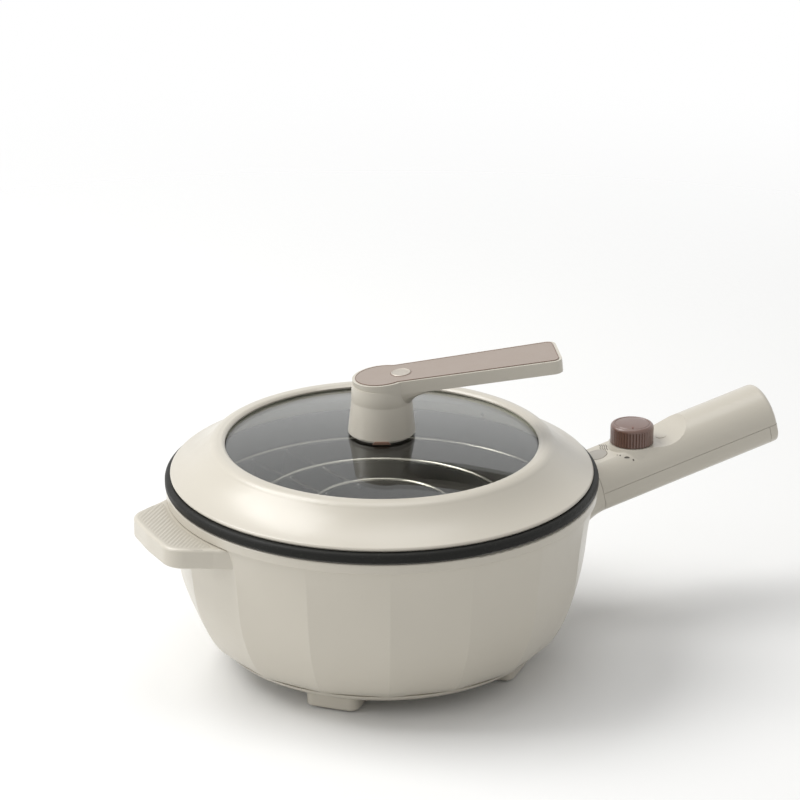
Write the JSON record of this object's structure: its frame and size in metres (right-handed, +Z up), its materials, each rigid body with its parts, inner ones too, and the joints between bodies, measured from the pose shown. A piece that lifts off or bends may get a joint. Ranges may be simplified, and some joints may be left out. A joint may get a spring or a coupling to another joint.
{
  "type": "electric hot pot with lid",
  "caption": "Countertop electric cooking pot with a long switch handle, side grip, lift-out steam rack and a lift-off glass lid with an arm handle.",
  "frame": {"origin": "on the pot's axis, on the surface that the feet stand on", "axes": "+X along the long handle, +Z up through the lid"},
  "size_m": [0.4317, 0.27, 0.1992],
  "materials": {
    "cream_plastic": "satin moulded polypropylene",
    "pad_rubber": "matt",
    "dark_coating": "satin non-stick coating",
    "grey_silicone": "matt silicone",
    "cast_aluminium": "cast",
    "bright_steel": "bright",
    "white_ceramic": "fired ceramic",
    "zinc_steel": "galvanised",
    "glass_sleeve": "woven sleeve",
    "black_plastic": "moulded",
    "brass_pins": "bright",
    "grey_lens": "smoked lens",
    "amber_lamp": "clear amber",
    "brown_plastic": "satin moulded",
    "stainless_wire": "polished stainless",
    "clear_glass": "clear toughened glass",
    "cream_silicone": "soft silicone",
    "mauve_inlay": "satin",
    "brown_clip": "satin"
  },
  "bodies": {
    "pot": {"outer_shell": "cream_plastic", "base_cover": "cream_plastic", "foot_pad_1": "pad_rubber", "foot_pad_2": "pad_rubber", "foot_pad_3": "pad_rubber", "foot_pad_4": "pad_rubber", "inner_pot": "dark_coating", "rim_gasket": "grey_silicone", "heating_plate": "cast_aluminium", "heater_pins": "bright_steel", "heater_insulators": "white_ceramic", "heat_shield": "zinc_steel", "thermostat": "white_ceramic", "thermal_fuse": "glass_sleeve", "shield_spacers": "bright_steel", "base_screws": "bright_steel", "handle_upper": "cream_plastic", "handle_lower": "cream_plastic", "handle_end_cap": "cream_plastic", "inlet_socket": "black_plastic", "inlet_pins": "brass_pins", "handle_screws": "bright_steel", "rotary_switch": "black_plastic", "switch_nut": "bright_steel", "indicator_lens": "grey_lens", "indicator_lamp": "amber_lamp"},
    "knob": {"control_knob": "brown_plastic", "switch_shaft": "bright_steel"},
    "rack": {"rack_ring_outer": "stainless_wire", "rack_ring_middle": "stainless_wire", "rack_ring_inner": "stainless_wire", "rack_leg_1": "stainless_wire", "rack_leg_2": "stainless_wire", "rack_leg_3": "stainless_wire"},
    "lid": {"lid_ring": "cream_plastic", "lid_glass": "clear_glass", "glass_seal": "cream_silicone", "lid_handle": "cream_plastic", "lid_handle_inlay": "mauve_inlay", "lid_handle_badge": "cream_plastic", "handle_gasket": "cream_silicone", "lid_washer": "bright_steel", "lid_screw": "bright_steel", "handle_clip": "brown_clip"}
  },
  "joints": [
    {"name": "knob_turn", "type": "hinge", "parent": "pot", "child": "knob", "pos_m": [0.176, 0, 0.115], "axis": [0, 0, -1], "range_deg": [0, 270]},
    {"name": "rack_lift", "type": "slide", "parent": "pot", "child": "rack", "axis": [0, 0, 1], "range_m": [0, 0.1316]},
    {"name": "lid_lift", "type": "slide", "parent": "rack", "child": "lid", "axis": [0, 0, 1], "range_m": [0, 0.0558]}
  ]
}
